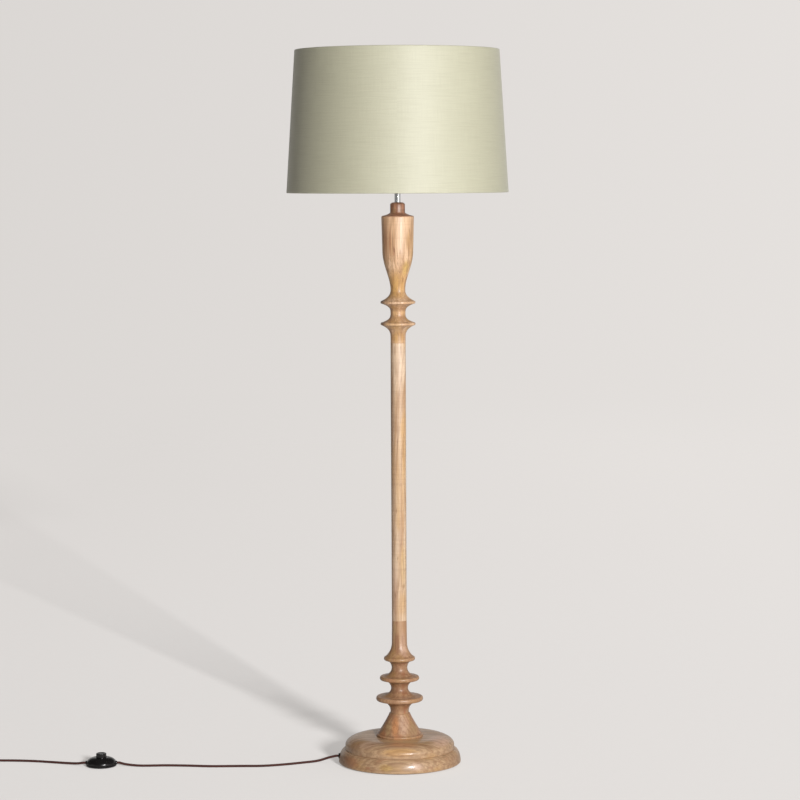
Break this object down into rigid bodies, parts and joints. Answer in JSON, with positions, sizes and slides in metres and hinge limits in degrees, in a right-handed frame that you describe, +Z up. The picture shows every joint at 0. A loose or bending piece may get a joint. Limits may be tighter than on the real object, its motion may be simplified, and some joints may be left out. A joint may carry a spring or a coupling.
{
  "type": "floor lamp",
  "caption": "Candlestick floor lamp: turned wooden column on a two-tier foot, tapered linen drum shade, screw-cap bulb, flex with a foot switch and a plug.",
  "frame": {"origin": "centre of the underside of the foot, on the floor", "axes": "+Z up the column; -X towards the side where the flex leaves the foot; -Y towards the viewer"},
  "size_m": [1.1961, 0.46, 1.491],
  "materials": {
    "felt": "matt wool felt",
    "wood_foot": "satin oiled mango wood, plank grain",
    "wood_column": "satin oiled mango wood, turned",
    "wood_pole": "satin oiled mango wood, paler, long straight grain",
    "wood_cap": "satin oiled mango wood, darker end grain",
    "iron": "rough cast",
    "steel": "zinc plated",
    "chrome": "polished",
    "bush": "matt black",
    "flex": "braided dark red-brown sleeve",
    "holder": "black moulded",
    "core": "white glazed",
    "brass": "plain",
    "black_glass": "black insulating glass",
    "bulb_metal": "satin",
    "glass": "clear",
    "filament": "yellow coated light strips",
    "wire": "off-white powder coat",
    "liner": "matt off-white lining sheet",
    "linen": "sage green linen with a fine slub",
    "switch_plastic": "polished black"
  },
  "bodies": {
    "lamp": {"base_felt": "felt", "base_plinth": "wood_foot", "base_upper_disc": "wood_foot", "base_weight": "iron", "weight_screws": "steel", "base_screws": "steel", "foot_cone": "wood_column", "lower_turning": "wood_column", "pole": "wood_pole", "upper_turning": "wood_column", "cup_cap": "wood_cap", "threaded_tube": "steel", "base_washer": "steel", "base_nut": "steel", "cup_washer": "steel", "cup_nut": "steel", "stem_sleeve": "chrome", "cord_grommet": "bush", "cord_clip": "steel", "clip_screws": "steel", "inner_flex": "flex", "holder_cap": "holder", "holder_body": "holder", "holder_core": "core", "holder_shell": "brass", "holder_contact": "brass", "holder_terminals": "brass", "switch_pad": "bush", "switch_base": "switch_plastic", "switch_cover": "switch_plastic", "switch_spring": "steel", "switch_contacts": "brass", "switch_terminals": "brass", "switch_screws": "steel", "switch_leads": "flex", "flex_to_switch": "flex", "flex_to_coil": "flex", "flex_coil": "flex", "coil_tie": "bush", "flex_to_plug": "flex", "plug_relief": "switch_plastic", "plug_body": "switch_plastic", "plug_pins": "brass"},
    "switch_button": {"switch_button": "switch_plastic"},
    "clamp_ring": {"clamp_ring": "holder"},
    "shade": {"shade_fitter": "wire", "shade_arms": "wire", "shade_low_ring": "wire", "shade_top_ring": "wire", "shade_liner": "liner", "shade_fabric": "linen"},
    "bulb_tip": {"bulb_tip": "steel", "bulb_insulator": "black_glass"},
    "bulb": {"bulb_cap": "bulb_metal", "bulb_glass": "glass", "bulb_stem": "glass", "bulb_filament": "filament"}
  },
  "joints": [
    {"name": "switch_press", "type": "slide", "parent": "lamp", "child": "switch_button", "axis": [0, 0, -1], "range_m": [0, 0.003], "stiffness_N_per_m": 900, "deforming": ["switch_spring"]},
    {"name": "shade_swivel", "type": "hinge", "parent": "lamp", "child": "shade", "pos_m": [0, 0, 1.239], "axis": [0, 0, 1], "continuous": true},
    {"name": "clamp_unscrew", "type": "slide", "parent": "lamp", "child": "clamp_ring", "axis": [0, 0, 1], "range_m": [0, 0.01]},
    {"name": "bulb_turn", "type": "hinge", "parent": "bulb_tip", "child": "bulb", "pos_m": [0, 0, 1.24], "axis": [0, 0, 1], "range_deg": [0, 1440]},
    {"name": "bulb_rise", "type": "slide", "parent": "lamp", "child": "bulb_tip", "axis": [0, 0, 1], "range_m": [0, 0.01447]}
  ],
  "couplings": [
    {"joint": "bulb_turn", "follows": "bulb_rise", "rad_per_m": 1735.7}
  ]
}
